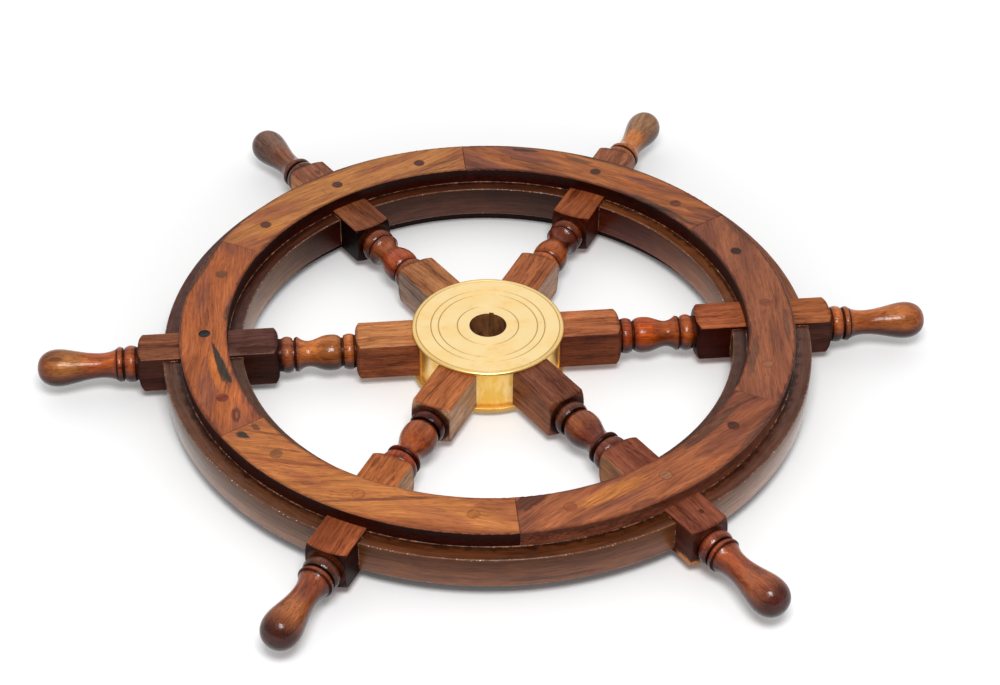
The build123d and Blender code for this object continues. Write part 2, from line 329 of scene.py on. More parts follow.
def upright(graph):
    """1 on walls, 0 on faces that look up or down."""
    return graph.span(graph.math("ABSOLUTE", graph.normal_z()), 0.75, 0.35)


# -------------------------------------------------- facings, from their stains
GREY = (84, 62, 52)
BLACK = (58, 52, 46)
UMBER = (106, 62, 46)
RUST = (150, 84, 52)
GOLD = (208, 134, 64)

# Each facing: two tones of its wood, how much the edges of its top darken with old
# varnish and painted shade, the tone of its walls (dark stain and painted shade
# together), the tilt and wander of its grain, how strong its bands and lines are,
# and its stains. A stain is: degrees from the segment's middle (against the clock),
# radius, half length, half width, tilt to the rim's direction, taper, colour and strength.
FACINGS = (
    dict(
        tones=((146, 88, 62), (130, 78, 58)),
        edge_dirt_and_shade=0.62, wall=(50, 24, 14),
        tilt=-3, wander=1.6, bands=0.45, lines=0.5,
        stains=(
            (-7, 202.5, 19, 2.2, 0, 0, GREY, 0.55),
            (-18, 181, 22, 3.2, 0, 0, GREY, 0.6),
            (-11, 192.5, 20, 1.6, 4, 0, UMBER, 0.5),
            (-25, 198, 16, 1.6, 14, 0, UMBER, 0.45),
            (24, 205, 18, 2.4, 0, 0, GREY, 0.4),
        ),
    ),
    dict(
        tones=((162, 97, 58), (134, 80, 61)),
        edge_dirt_and_shade=0.62, wall=(46, 18, 9),
        tilt=0, wander=2.2, bands=0.8, lines=0.8,
        stains=(
            (16.5, 203.8, 10, 2.0, 0, 0.3, (70, 58, 60), 0.85),
            (4.5, 200.5, 11, 2.4, -3, 0, GREY, 0.7),
            (0, 206.5, 75, 1.5, 0, 0, GREY, 0.6),
            (-20.5, 179, 30, 3.0, 4, 0.2, GREY, 0.8),
            (-27, 195, 13, 2.4, 12, 0, UMBER, 0.5),
            (20, 193, 22, 1.5, -16, 0, UMBER, 0.5),
            (12, 186, 20, 1.2, -12, 0, UMBER, 0.5),
            (-10, 190, 20, 4, 0, 0, (190, 108, 54), 0.5),
        ),
    ),
    dict(
        tones=((184, 121, 70), (163, 99, 65)),
        edge_dirt_and_shade=0.5, wall=(44, 17, 9),
        tilt=0, wander=1.2, bands=0.4, lines=0.75,
        stains=(
            (-17, 181.5, 16, 2.2, 6, 0, UMBER, 0.5),
            (-24, 187.5, 17, 1.5, 14, 0, UMBER, 0.5),
            (-25, 181, 14, 1.2, 10, 0, UMBER, 0.5),
            (0, 207, 80, 1.6, 0, 0, UMBER, 0.55),
            (3.8, 190, 0.8, 4, 0, 0, UMBER, 0.35),
            (22, 184, 14, 4, -8, 0, GOLD, 0.4),
        ),
    ),
    dict(
        tones=((173, 98, 57), (146, 85, 61)),
        edge_dirt_and_shade=0.5, wall=(46, 20, 10),
        tilt=-2, wander=1.6, bands=0.5, lines=0.6,
        stains=(
            (12, 188.5, 18, 3.2, -3, 0, (214, 122, 52), 0.55),
            (9.6, 183.8, 25, 2.9, 4, 0.75, BLACK, 0.97),
            (15, 181.8, 7, 1.7, 2, 0, BLACK, 0.9),
            (26.4, 190.5, 7.5, 2.9, -25, 0, (98, 52, 40), 0.85),
            (26.6, 190.4, 3.4, 1.0, -25, 0, (150, 88, 62), 0.7),
            (-21, 206, 36, 2.0, 0, 0, GREY, 0.7),
            (-5.4, 190.8, 10, 1.5, 4, 0, UMBER, 0.6),
            (-6.8, 178, 9, 2.0, 0, 0, GREY, 0.65),
            (-20, 188, 12, 2.2, 8, 0, UMBER, 0.4),
            (24, 183, 18, 2.5, -4, 0, (196, 104, 48), 0.4),
        ),
    ),
    dict(
        tones=((181, 113, 65), (165, 99, 62)),
        edge_dirt_and_shade=0.35, wall=(44, 17, 8),
        tilt=20, wander=2.6, bands=0.5, lines=0.5,
        stains=(
            (14, 206, 62, 5.5, 0, 0, (156, 88, 54), 0.6),
            (3.6, 191.4, 38, 1.3, 24, 0, UMBER, 0.65),
            (0.5, 195.0, 22, 1.0, 22, 0, UMBER, 0.5),
            (9, 183, 16, 0.8, 18, 0, UMBER, 0.45),
            (-15.8, 190.5, 27, 2.1, 31, 0, (136, 76, 50), 0.75),
            (-19.5, 186.0, 17, 1.0, 34, 0, UMBER, 0.5),
            (-25.5, 184.0, 15, 1.1, 38, 0, UMBER, 0.6),
            (-27.6, 196.2, 5.5, 2.4, 22, -0.8, BLACK, 0.95),
            (-28.2, 186.0, 4.2, 2.3, 0, 0, (98, 66, 52), 0.8),
            (-21, 201, 12, 3, 20, 0, RUST, 0.4),
        ),
    ),
    dict(
        tones=((157, 93, 61), (130, 77, 57)),
        edge_dirt_and_shade=0.4, wall=(92, 54, 40),
        tilt=4, wander=1.8, bands=0.7, lines=0.7,
        stains=(
            (21, 192, 36, 17, 0, 0, (134, 78, 56), 0.6),
            (-11, 188, 26, 6, 8, 0, (206, 132, 64), 0.5),
            (-27, 181, 15, 6.5, 36, 0, (90, 52, 42), 0.9),
            (17, 181, 32, 3.4, -3, 0, GREY, 0.65),
            (21, 206, 26, 2.2, 0, 0, GREY, 0.55),
            (-7.5, 205, 10, 2.6, 0, 0, (98, 56, 48), 0.7),
            (9, 201.5, 12, 1.5, 0, 0, (190, 98, 48), 0.3),
            (-2, 194, 34, 0.8, 2, 0, UMBER, 0.5),
            (-12, 197.5, 24, 0.8, 8, 0, UMBER, 0.45),
        ),
    ),
)


def facing_wood(index, side):
    """The wood of one facing; the back ones have no stains."""
    look = FACINGS[index]
    angle = index * PITCH
    seed, stains = (41, look["stains"]) if side == "front" else (61, ())
    material, graph, shader = new_material(f"{side}_facing_{index + 1}_wood")
    strip = local_place(graph, unit(angle) * FACING_MIDDLE, angle - 90)
    run, out, _ = graph.split(strip)
    factor, pore, fibre = grain(
        graph,
        turned_about(graph, strip, look["tilt"]),
        index + seed,
        wander=look["wander"] * MM,
        bands=look["bands"],
        lines=look["lines"],
        pores=0.24,
    )
    patch = graph.noise(graph.vector("MULTIPLY", strip, (16.0, 60.0, 60.0)), detail=2.0)
    first, second = (seen(*tone) for tone in look["tones"])
    colour = graph.mix(graph.span(patch, 0.4, 0.6), first, second)

    ragged = graph.noise(graph.vector("MULTIPLY", strip, (170.0, 650.0, 650.0)), detail=3.0, roughness=0.6)
    wobble = graph.math("SUBTRACT", ragged, 0.5)
    for turn, radius, half_length, half_width, tilt, taper, tone, strength in stains:
        spot = radius * MM * unit(90 + turn)
        centre = (spot.x, spot.y - FACING_MIDDLE)
        mask = mark_mask(
            graph, run, out, centre, half_length * MM, half_width * MM, tilt + turn, taper, wobble
        )
        colour = graph.mix(graph.math("MULTIPLY", mask, strength), colour, seen(*tone))

    # A dark line of glue round each plug
    rings = 0.0
    before, after = FIXING_SPREADS[index]
    for turn in (-before, 0, after):
        spot = FIXING_CIRCLE * unit(90 + turn)
        reach = graph.hypot(
            graph.math("SUBTRACT", run, spot.x), graph.math("SUBTRACT", out, spot.y - FACING_MIDDLE)
        )
        ring = graph.span(graph.math("SUBTRACT", reach, PLUG_RADIUS), 0.9 * MM, 0.1 * MM)
        rings = graph.math("MAXIMUM", rings, ring)
    factor = graph.math("MULTIPLY", factor, graph.math("MULTIPLY_ADD", rings, -0.35, 1.0))

    # Old varnish, dirt and painted shade along both edges of the top; the walls are darker still, with dark
    # stain and painted shade
    place = graph.place()
    radius = graph.math("MULTIPLY_ADD", wobble, 4 * MM, radius_of(graph, place))
    edge_dirt_and_shade = graph.math(
        "MAXIMUM",
        graph.span(radius, FACING_OUTER - 2.6 * MM, FACING_OUTER - 0.6 * MM),
        graph.span(radius, FACING_INNER + 2.6 * MM, FACING_INNER + 0.6 * MM),
    )
    wall = upright(graph)
    edge_dirt_and_shade = graph.math("MULTIPLY", edge_dirt_and_shade, graph.math("SUBTRACT", 1.0, wall))
    factor = graph.math("MULTIPLY", factor, graph.math("MULTIPLY_ADD", edge_dirt_and_shade, -look["edge_dirt_and_shade"], 1.0))
    height = graph.math("ABSOLUTE", graph.split(place)[2])
    # Painted shade on the walls: darker at the top and paler towards their foot
    shaded_wall_tone = graph.mix(
        graph.span(graph.math("MULTIPLY_ADD", wobble, 14 * MM, height), 20 * MM, 12 * MM),
        seen(*look["wall"]),
        seen(*(tone * 1.45 for tone in look["wall"])),
    )
    colour = graph.mix(wall, colour, shaded_wall_tone)
    coat = graph.math("MULTIPLY_ADD", wall, -0.04, 0.1)
    colour = shaded(graph, colour, factor)
    finish_wood(graph, shader, colour, pore, fibre, roughness=0.42, coat=coat, coat_roughness=0.22)
    return material


# ----------------------------------------------------------- felloes, by piece
# Each felloe: the tones of its shoulders and of its outer wall, and of its inner
# wall at its first end and at its last
FELLOES = (
    ((130, 76, 44), (104, 64, 44), (146, 92, 60), (80, 36, 22)),
    ((90, 50, 32), (82, 48, 34), (66, 38, 26), (80, 47, 32)),
    ((84, 46, 32), (82, 50, 36), (58, 24, 14), (142, 102, 76)),
    ((94, 58, 38), (112, 78, 58), (104, 70, 48), (104, 70, 48)),
    ((94, 54, 31), (106, 62, 35), (104, 70, 48), (104, 70, 48)),
    ((92, 54, 37), (134, 98, 78), (104, 70, 48), (104, 70, 48)),
)


def felloe_wood(index):
    material, graph, shader = new_material(f"felloe_{index + 1}_wood")
    place = graph.place()
    radius = radius_of(graph, place)
    height = graph.math("ABSOLUTE", graph.split(place)[2])

    def by_side(inner_value, outer_value):
        """One value on the half of the felloe by the hub, another on the half by the handles."""
        return graph.span(radius, 190 * MM, 195 * MM, inner_value, outer_value)

    # The grain of a felloe follows the rim
    x, y, z = graph.split(turned_about(graph, place, index * PITCH + PITCH / 2))
    along = graph.math("MULTIPLY", graph.math("ARCTAN2", y, x), FELLOE_OUTER)
    local = graph.combine(along, radius, z)
    factor, pore, fibre = grain(
        graph, local, index + 21, wander=0.7 * MM, bands=0.7, lines=0.75, pores=0.2, band_width=4 * MM
    )
    shoulder, outer, first, last = (seen(*tone) for tone in FELLOES[index])
    inner = graph.mix(graph.span(along, -90 * MM, 70 * MM), first, last)
    ragged = graph.noise(place, scale=160.0, detail=3.0, roughness=0.6)
    wobble = graph.math("SUBTRACT", ragged, 0.5)

    # Painted shade on the shoulders, in the corner beside the facing
    loose = graph.math("MULTIPLY_ADD", wobble, 9 * MM, radius)
    corner_shade = 0.0
    for foot, away, width in ((FACING_OUTER, 1, 4.5 * MM), (FACING_INNER, -1, 4 * MM)):
        corner_shade_band = graph.math(
            "MULTIPLY",
            graph.span(loose, foot + away * width, foot + away * MM),
            graph.span(radius, foot - away * 8.5 * MM, foot - away * 7.5 * MM),
        )
        corner_shade = graph.math("MAXIMUM", corner_shade, corner_shade_band)
    shoulder = graph.dim(shoulder, by_side(0.75, 1.0))
    flat = graph.mix(graph.math("MULTIPLY", corner_shade, 0.8), shoulder, seen(44, 22, 13))

    # Painted reflection of the floor: the walls are painted darker at the top and paler towards the floor
    wall = upright(graph)
    walls = graph.mix(by_side(0.0, 1.0), inner, outer)
    walls = graph.dim(walls, graph.span(z, FELLOE_HALF, -FELLOE_HALF, 0.65, 1.5))
    colour = shaded(graph, graph.mix(wall, flat, walls), factor)

    # The edges are lighter, partly rubbed bare and partly a painted highlight, with white specks of painted
    # glint
    corner = graph.math(
        "MULTIPLY",
        graph.span(height, FELLOE_HALF - 0.9 * MM, FELLOE_HALF - 0.55 * MM),
        graph.math(
            "MAXIMUM",
            graph.span(radius, FELLOE_OUTER - 0.9 * MM, FELLOE_OUTER - 0.5 * MM),
            graph.span(radius, FELLOE_INNER + 0.9 * MM, FELLOE_INNER + 0.5 * MM),
        ),
    )
    bare_and_highlight = graph.math("MULTIPLY", corner, graph.span(ragged, 0.3, 0.7, 0.15, 0.55))
    colour = graph.mix(bare_and_highlight, colour, seen(150, 104, 76))
    painted_glint = graph.span(graph.noise(place, scale=900.0, detail=1.0), 0.66, 0.7, 0.0, 0.8)
    colour = graph.mix(graph.math("MULTIPLY", corner, painted_glint), colour, seen(226, 214, 200))

    # The walls are glossier towards the floor
    polish = graph.math("MULTIPLY", graph.span(z, FELLOE_HALF, -FELLOE_HALF, 0.15, 1.0), by_side(0.5, 1.0))
    coat = graph.mix(wall, graph.span(ragged, 0.35, 0.65, 0.2, 0.5), polish)
    finish_wood(
        graph, shader, colour, pore, fibre, roughness=0.36, coat=coat, coat_roughness=0.16, coat_ior=1.42
    )
    return material


# ------------------------------------------------------------ spokes, by piece
# Each spoke's tones from the hub outwards: hub block, bead, vase, neck, rim bead,
# inner rim block, outer rim block, handle bead, grip, bulb and end of the handle
SPOKES_TONES = (
    (
        (171, 103, 68), (160, 74, 31), (188, 86, 30), (154, 78, 36), (176, 90, 44), (166, 93, 60),
        (164, 97, 61), (182, 100, 52), (176, 98, 50), (176, 104, 58), (148, 80, 45),
    ),
    (
        (163, 98, 65), (179, 95, 46), (164, 86, 42), (105, 48, 20), (108, 52, 27), (149, 83, 51),
        (151, 96, 71), (145, 83, 44), (190, 114, 60), (146, 106, 78), (140, 92, 60),
    ),
    (
        (168, 112, 76), (143, 77, 45), (168, 82, 50), (148, 80, 48), (122, 65, 40), (130, 78, 54),
        (142, 92, 71), (98, 59, 42), (136, 84, 60), (120, 88, 74), (110, 66, 48),
    ),
    (
        (184, 121, 77), (190, 108, 57), (162, 96, 52), (196, 114, 60), (160, 90, 58), (101, 67, 59),
        (132, 82, 59), (172, 90, 50), (182, 94, 50), (166, 105, 60), (130, 74, 46),
    ),
    (
        (168, 100, 63), (80, 32, 18), (150, 80, 48), (160, 80, 37), (148, 68, 37), (171, 101, 62),
        (148, 82, 53), (92, 54, 40), (142, 76, 48), (160, 94, 56), (80, 42, 30),
    ),
    (
        (125, 78, 60), (112, 68, 51), (146, 83, 53), (116, 58, 42), (115, 65, 48), (132, 76, 58),
        (124, 71, 54), (132, 68, 45), (154, 80, 50), (156, 88, 58), (84, 42, 34),
    ),
)
# Where those tones begin and end, in mm from the wheel's centre
TONE_PLACES = (
    90, 91.5, 99, 100.5, 112, 118, 126, 132, 140.5, 143, 180, 205, 236.5, 239, 247, 249, 268, 278, 288, 300,
)
# Each spoke's knots: distance along it and across it, half length, half width and strength
KNOTS = (
    (),
    (),
    ((224, -3, 3.4, 2, 0.5),),
    ((158, 9, 16, 4.5, 0.75), (262, 3, 9, 1.4, 0.5), (292, 5, 6, 1.6, 0.6)),
    ((152, -8, 6, 2, 0.4),),
    ((222.6, 3.8, 2.4, 1.7, 0.85),),
)
# The spoke whose outer square has lost some of its stain, counted from 0
SCUFFED_SPOKE = 5
# Where a spoke is turned, and its grooves with their half widths, in mm
TURNINGS = ((90.5, 142.8), (237.0, 305.0))
GROOVES = ((91.2, 1.0), (99.6, 1.2), (131.6, 1.0), (141.9, 1.2), (238.2, 1.1), (246.8, 1.1), (251.3, 0.7))
# The tones of each spoke's sides, with their light and shade painted in: by the hub, inside the rim and
# outside it
SPOKE_SIDES_LIT_AND_SHADED = (
    ((116, 64, 42), (60, 22, 11), (78, 46, 38)),
    ((188, 144, 116), (76, 30, 15), (166, 104, 76)),
    ((163, 133, 116), (28, 14, 9), (176, 114, 74)),
    ((140, 80, 52), (66, 38, 30), (76, 44, 36)),
    ((194, 150, 117), (200, 148, 106), (44, 20, 12)),
    ((140, 86, 60), (172, 116, 76), (78, 44, 34)),
)


def spoke_wood(index):
    material, graph, shader = new_material(f"spoke_{index + 1}_wood")
    local = local_place(graph, Vector((0, 0, 0)), index * PITCH)
    along, across, up = graph.split(local)
    factor, pore, fibre = grain(
        graph, local, index + 1, wander=1.6 * MM, bands=0.9, lines=0.7, band_width=6 * MM
    )
    tones = SPOKES_TONES[index]
    hub, inner, outer = (seen(*tones[place]) for place in (0, 5, 6))
    hub_bead, vase, neck, rim_bead = (polished(*tone) for tone in tones[1:5])
    handle_bead, grip, bulb, end = (polished(*tone) for tone in tones[7:])
    places = [place * MM / SPOKE_TIP for place in TONE_PLACES]
    order = (
        hub, hub_bead, hub_bead, vase, vase, neck, neck, rim_bead, rim_bead, inner, inner,
        outer, outer, handle_bead, handle_bead, grip, grip, bulb, bulb, end,
    )
    colour = graph.ramp(graph.math("DIVIDE", along, SPOKE_TIP), *zip(places, order))

    turned = 0.0
    for start, stop in TURNINGS:
        inside = graph.math(
            "MULTIPLY",
            graph.span(along, (start - 0.3) * MM, (start + 0.3) * MM),
            graph.span(along, (stop + 0.4) * MM, (stop - 0.2) * MM),
        )
        turned = graph.math("MAXIMUM", turned, inside)
    block = graph.math("SUBTRACT", 1.0, turned)
    wall = graph.math("MULTIPLY", upright(graph), block)

    wobble = centred(graph, graph.noise(local, scale=400.0, detail=3.0), 1.0)
    for place, aside, half_length, half_width, strength in KNOTS[index]:
        mask = mark_mask(
            graph, along, across, (place * MM, aside * MM), half_length * MM, half_width * MM, 0, 0, wobble
        )
        colour = graph.mix(graph.math("MULTIPLY", mask, strength), colour, seen(66, 38, 30))

    # Painted shade in the grooves of the turnings, and more faintly beside them
    groove_shade_mask = 0.0
    groove_flank_shade = 0.0
    for place, half_width in GROOVES:
        groove_shade_mask = graph.math("MAXIMUM", groove_shade_mask, near(graph, along, place * MM, half_width * MM))
        groove_flank_shade = graph.math("MAXIMUM", groove_flank_shade, near(graph, along, place * MM, 2.6 * half_width * MM))
    factor = graph.math("MULTIPLY", factor, graph.math("MULTIPLY_ADD", groove_shade_mask, -0.75, 1.0))
    factor = graph.math("MULTIPLY", factor, graph.math("MULTIPLY_ADD", groove_flank_shade, -0.3, 1.0))

    # The sides of the squares are painted with their own light and shade: dark where shaded, pale where a
    # reflection is painted
    near_hub, near_rim, outside = (seen(*tone) for tone in SPOKE_SIDES_LIT_AND_SHADED[index])
    side_light_and_shade = graph.ramp(
        graph.math("DIVIDE", along, SPOKE_TIP),
        (0.3, near_hub),
        (0.45, near_rim),
        (0.6, near_rim),
        (0.7, outside),
    )
    colour = graph.mix(wall, colour, side_light_and_shade)

    # Painted shade on the turnings: darker and redder underneath than on top, and
    # less dark on the strip that faces straight back
    height = graph.math(
        "MAXIMUM",
        graph.span(up, -4.5 * MM, 9.5 * MM, 0.1, 1.3),
        graph.span(graph.normal_z(), -0.72, -0.95, 0.0, 0.55),
    )
    height = graph.math("MULTIPLY_ADD", graph.math("SUBTRACT", height, 1.0), turned, 1.0)
    factor = graph.math("MULTIPLY", factor, height)
    underside_shade = graph.math("MULTIPLY", graph.span(up, 4 * MM, -5 * MM, 0.0, 0.55), turned)
    colour = graph.mix(underside_shade, colour, seen(150, 54, 24))

    # One square has lost its stain along the foot of its outer end
    if index == SCUFFED_SPOKE:
        foot = graph.span(graph.math("MULTIPLY_ADD", wobble, 5 * MM, up), -8.5 * MM, -11.5 * MM)
        scuff = graph.math("MULTIPLY", foot, near(graph, along, 232 * MM, 9 * MM))
        lift = graph.math("MULTIPLY", scuff, 0.5)
        factor = graph.math("MULTIPLY_ADD", graph.math("SUBTRACT", 1.0, factor), lift, factor)
        colour = graph.mix(graph.math("MULTIPLY", scuff, 0.9), colour, seen(214, 142, 84))

    # The lathe's centre has left a dark prick in the tip
    off_axis = graph.hypot(across, up)
    tip = graph.span(along, SPOKE_TIP - 5 * MM, SPOKE_TIP - 3 * MM)
    prick = graph.math("MULTIPLY", graph.span(off_axis, 1.3 * MM, 0.8 * MM), tip)
    factor = graph.math("MULTIPLY", factor, graph.math("MULTIPLY_ADD", prick, -0.8, 1.0))
    colour = shaded(graph, colour, factor)
    shine = graph.math("MULTIPLY", turned, graph.math("MULTIPLY_ADD", groove_shade_mask, -0.75, 0.75))
    coat = graph.math("MAXIMUM", shine, graph.math("MULTIPLY_ADD", wall, 0.04, 0.1))
    finish_wood(
        graph,
        shader,
        colour,
        pore,
        fibre,
        roughness=0.4,
        coat=coat,
        coat_roughness=0.16,
        ior=1.1,
        coat_ior=1.4,
    )
    return material


# ---------------------------------------------------------------------- brass
BRASS_PALE = (1.0, 0.76, 0.38, 1.0)
BRASS_YELLOW = (1.0, 0.72, 0.32, 1.0)
BRASS_STAINED = (0.95, 0.63, 0.24, 1.0)
BRASS_WALL_SHADE = (0.86, 0.52, 0.1, 1.0)
BRASS_BEAD = (0.85, 0.55, 0.16, 1.0)
BRASS_TARNISH = (0.62, 0.38, 0.10, 1.0)
BRASS_CUT = (0.42, 0.26, 0.08, 1.0)
BORE_SHADE_DARK = (0.12, 0.045, 0.016, 1.0)
BORE_SHADE_LIGHT = (0.34, 0.14, 0.05, 1.0)


def brass(name, seed, hub=True):
    """Brass that was turned on a lathe, with painted shade on its walls; the hub's has its engraved
    circles, tarnish and painted shade in its bore too.
    """
    material, graph, shader = new_material(name)
    place = graph.place()
    z = graph.split(place)[2]
    radius = radius_of(graph, place)
    turning = graph.noise(
        graph.combine(graph.math("MULTIPLY", radius, 2200.0), graph.math("MULTIPLY", z, 900.0), seed)
    )
    cloud = graph.noise(graph.vector("MULTIPLY", place, (38.0, 55.0, 80.0)), detail=3.0, roughness=0.55)
    stain = graph.noise(graph.vector("MULTIPLY", place, (90.0, 130.0, 40.0)), detail=4.0, roughness=0.65)
    colour = graph.mix(graph.span(cloud, 0.45, 0.62), BRASS_PALE, BRASS_YELLOW)
    colour = graph.mix(graph.span(stain, 0.57, 0.72, 0.0, 0.6), colour, BRASS_STAINED)
    # Painted shade: the walls are a deeper, darker brass, in patches
    wall = graph.math("MULTIPLY", upright(graph), graph.span(stain, 0.35, 0.6, 0.3, 1.0))
    colour = graph.mix(wall, colour, BRASS_WALL_SHADE)
    rough = graph.span(stain, 0.35, 0.7, 0.30, 0.42)
    metal = 1.0
    if hub:
        # The circles engraved in the plate, and the raised bead at its rim
        cuts = 0.0
        for circle in (*ENGRAVED, BEAD_QUIRK):
            cuts = graph.math("MAXIMUM", cuts, near(graph, radius, circle * MM, 0.42 * MM))
        cuts = graph.math("MULTIPLY", cuts, graph.span(z, 15.2 * MM, 15.6 * MM))
        colour = graph.mix(graph.math("MULTIPLY", cuts, 0.6), colour, BRASS_CUT)
        rough = graph.math("MULTIPLY_ADD", cuts, 0.3, rough)
        rim = graph.math(
            "MULTIPLY", graph.span(radius, 49.3 * MM, 50.2 * MM), graph.span(z, 13.6 * MM, 14.0 * MM)
        )
        colour = graph.mix(graph.math("MULTIPLY", rim, 0.55), colour, BRASS_BEAD)
        # The drum is tarnished down by its back plate
        tarnish = graph.math(
            "MULTIPLY", graph.span(z, -10.5 * MM, -13.2 * MM), graph.span(radius, 49 * MM, 49.4 * MM)
        )
        colour = graph.mix(graph.math("MULTIPLY", tarnish, 0.8), colour, BRASS_TARNISH)
        rough = graph.math("MULTIPLY_ADD", tarnish, 0.2, rough)
        # Painted shade in the bore
        bore = graph.span(radius, 14.1 * MM, 13.95 * MM)
        bore = graph.math("MULTIPLY", bore, graph.span(z, 16.1 * MM, 15.6 * MM))
        bore_shade_tone = graph.mix(graph.span(stain, 0.4, 0.6), BORE_SHADE_DARK, BORE_SHADE_LIGHT)
        colour = graph.mix(bore, colour, bore_shade_tone)
        rough = graph.math("MULTIPLY_ADD", bore, 0.1, rough)
        metal = graph.math("MULTIPLY_ADD", bore, -0.5, 1.0)
    graph.feed(shader.inputs["Base Color"], colour)
    graph.feed(shader.inputs["Metallic"], metal)
    graph.feed(shader.inputs["Roughness"], rough)
    graph.bump(shader.inputs["Normal"], turning, strength=0.05, distance=0.03 * MM)
    return material


# --------------------------------------------------------------------- plugs
# Tones of the plugs, against the clock: on each spoke's line, after it, and before
# the next spoke
PLUG_TONES = (
    ((134, 78, 56), (72, 46, 38), (112, 60, 44)),
    ((86, 58, 40), (150, 86, 48), (96, 56, 46)),
    ((92, 60, 48), (100, 62, 46), (126, 80, 56)),
    ((60, 56, 52), (132, 64, 46), (142, 90, 60)),
    ((168, 100, 56), (160, 98, 54), (152, 86, 54)),
    ((152, 102, 74), (84, 48, 38), (146, 92, 66)),
)


def plug_wood(name):
    material, graph, shader = new_material(name)
    place = graph.place()
    x, y, _ = graph.split(turned_about(graph, place, 170))
    turn = graph.math("MULTIPLY_ADD", graph.math("ARCTAN2", y, x), 1 / (2 * math.pi), 0.5)
    stops = []
    for spoke, tones in enumerate(PLUG_TONES):
        for start, tone in zip((0, 20, 40), tones):
            stops.append(((spoke * PITCH + start) / 360, seen(*tone)))
    colour = graph.ramp(turn, *stops)
    colour.node.color_ramp.interpolation = "CONSTANT"
    factor, pore, fibre = grain(
        graph, turned_about(graph, place, 25), 71, bands=0.4, lines=0.6, band_width=5 * MM
    )
    colour = shaded(graph, colour, factor)
    finish_wood(graph, shader, colour, pore, fibre, roughness=0.4, coat=0.12, coat_roughness=0.2)
    return material


# --------------------------------------------------------- wood of each piece
for index in range(SPOKES):
    cover(f"spoke_{index + 1}", spoke_wood(index))
    cover(f"felloe_{index + 1}", felloe_wood(index))
    for side in ("front", "back"):
        cover(f"{side}_facing_{index + 1}", facing_wood(index, side))

plugs = plug_wood("plug_wood")
cover("front_plugs", plugs)
cover("back_plugs", plugs)

dowel_wood, graph, shader = new_material("dowel_wood")
factor, pore, fibre = grain(graph, graph.place(), 73)
colour = shaded(graph, seen(206, 168, 112), factor)
finish_wood(graph, shader, colour, pore, fibre, roughness=0.5, coat=0.0, coat_roughness=0.3)
cover("felloe_dowels", dowel_wood)

hub_brass = brass("hub_brass", 1.0)
cover("hub_body", hub_brass)
cover("hub_back_plate", hub_brass)
screw_brass = brass("screw_brass", 5.0, hub=False)
for name in ("front_screws", "back_screws", "hub_screws"):
    cover(name, screw_brass)

pitch_black, graph, shader = new_material("black_pitch")
lumps = graph.noise(graph.place(), scale=700.0)
graph.feed(shader.inputs["Base Color"], graph.ramp(lumps, (0.4, srgb(16, 18, 20)), (0.6, srgb(34, 36, 38))))
graph.feed(shader.inputs["Roughness"], graph.span(lumps, 0.35, 0.65, 0.1, 0.25))
shader.inputs["IOR"].default_value = 1.3
graph.bump(shader.inputs["Normal"], lumps, strength=1.0, distance=1.0 * MM)
cover("pitch_stopping", pitch_black)


# ------------------------------------------------- varnish set in the corners
def tube(points, radii, sides=6):
    """Vertices and faces of a closed round bead that follows points."""
    vertices = []
    faces = []
    for index, (point, radius) in enumerate(zip(points, radii)):
        before = points[max(index - 1, 0)]
        after = points[min(index + 1, len(points) - 1)]
        forward = (after - before).normalized()
        helper = Vector((0, 0, 1)) if abs(forward.z) < 0.9 else Vector((1, 0, 0))
        side = forward.cross(helper).normalized()
        over = side.cross(forward)
        for corner in range(sides):
            turn = 2 * math.pi * corner / sides
            vertices.append(point + radius * (side * math.cos(turn) + over * math.sin(turn)))
    last = (len(points) - 1) * sides
    for start in range(0, last, sides):
        for corner in range(sides):
            follow = (corner + 1) % sides
            faces.append((start + corner, start + follow, start + sides + follow, start + sides + corner))
    faces.append(tuple(range(sides - 1, -1, -1)))
    faces.append(tuple(last + corner for corner in range(sides)))
    return vertices, faces


def bead(name, runs, material):
    """One piece made of several beads of varnish; each run is points and their radii."""
    vertices = []
    faces = []
    for points, radii in runs:
        more, skin = tube(points, radii)
        faces += [tuple(corner + len(vertices) for corner in face) for face in skin]
        vertices += more
    mesh = bpy.data.meshes.new(name)
    mesh.from_pydata(vertices, [], faces)
    mesh.materials.append(material)
    mesh.shade_smooth()
    piece = bpy.data.objects.new(name, mesh)
    bpy.context.scene.collection.objects.link(piece)
    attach(piece, "root")


def lumpy(draw, count, radius, roughness):
    """Bead radii that wander and run thin at both ends."""
    sizes = []
    level = 1.0
    for index in range(count):
        level = min(max(level + draw.uniform(-0.35, 0.35) * roughness, 0.55), 1.5)
        taper = min(1.0, 0.3 + 0.35 * min(index, count - 1 - index))
        sizes.append(radius * level * taper)
    return sizes


def corner_bead(draw, radius, height, start, stop, size):
    """A bead round the rim, from one angle to another."""
    count = int(abs(stop - start) * math.radians(1) * radius / (1.6 * MM))
    points = []
    for index in range(count + 1):
        angle = start + (stop - start) * index / count
        points.append(unit(angle) * radius + Vector((0, 0, height)))
    return points, lumpy(draw, len(points), size, 1.0)


def straight_bead(draw, start, stop, size):
    count = max(int((stop - start).length / (1.2 * MM)), 3)
    points = [start.lerp(stop, index / count) for index in range(count + 1)]
    return points, lumpy(draw, len(points), size, 1.0)


